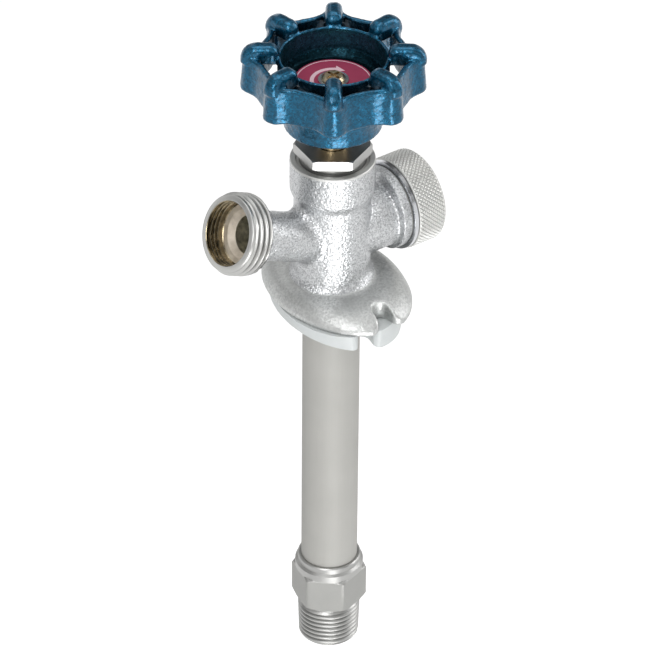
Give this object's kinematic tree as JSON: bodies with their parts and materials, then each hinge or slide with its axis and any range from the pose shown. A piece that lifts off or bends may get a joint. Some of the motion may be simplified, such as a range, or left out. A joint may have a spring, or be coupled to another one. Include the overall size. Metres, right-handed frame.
{
  "type": "sillcock",
  "caption": "Frost-free wall sillcock with a lobed handle wheel, tilted hose outlet, vacuum breaker, wall flange with wedge and a long casing tube to a threaded inlet.",
  "frame": {"origin": "on the tube's axis, in the plane of the wall flange's back face", "axes": "+Z out of the wall along the stem, -X towards the hose outlet (down when installed), +X towards the vacuum breaker, Y through the flange's screw slots"},
  "size_m": [0.082, 0.0588, 0.2379],
  "materials": {
    "cast_plated": "satin nickel plate over a rough casting",
    "machined_plated": "bright nickel plate over machined brass",
    "tube_plated": "satin nickel plate",
    "bare_brass": "machined brass",
    "blue_paint": "metallic blue coat over a casting",
    "red_plate": "red enamelled sheet",
    "wedge_plastic": "translucent white plastic",
    "float_plastic": "moulded plastic",
    "rubber": "moulded rubber",
    "packing": "graphited packing",
    "steel": "plain steel"
  },
  "bodies": {
    "valve_body": {"body": "cast_plated", "casing_tube": "tube_plated", "inlet_fitting": "machined_plated", "packing_nut": "machined_plated", "packing_ring": "packing", "packing_washer": "bare_brass", "stem_bushing": "bare_brass", "breaker_gasket": "rubber", "breaker_bonnet": "machined_plated", "breaker_cap": "machined_plated"},
    "plunger": {"washer_holder": "bare_brass", "retaining_ring": "bare_brass", "seat_washer": "rubber", "washer_screw": "bare_brass"},
    "spindle": {"stem": "bare_brass", "rod_pin": "steel", "operating_rod": "bare_brass", "handle_wheel": "blue_paint", "index_plate": "red_plate", "screw_washer": "steel", "handle_screw": "bare_brass"},
    "poppet": {"breaker_float": "float_plastic", "float_seal": "rubber"},
    "wedge": {"wall_wedge": "wedge_plastic"}
  },
  "joints": [
    {"name": "plunger_lift", "type": "slide", "parent": "valve_body", "child": "plunger", "axis": [0, 0, 1], "range_m": [0, 0.0045]},
    {"name": "handle_turn", "type": "hinge", "parent": "plunger", "child": "spindle", "pos_m": [0, 0, 0.08], "axis": [0, 0, 1], "range_deg": [0, 540]},
    {"name": "float_lift", "type": "slide", "parent": "valve_body", "child": "poppet", "axis": [1, 0, 0], "range_m": [0, 0.002]},
    {"name": "wedge_turn", "type": "hinge", "parent": "valve_body", "child": "wedge", "pos_m": [0, 0, 0], "axis": [0, 0, 1], "continuous": true}
  ],
  "couplings": [
    {"joint": "plunger_lift", "follows": "handle_turn", "m_per_rad": 0.00047746}
  ]
}
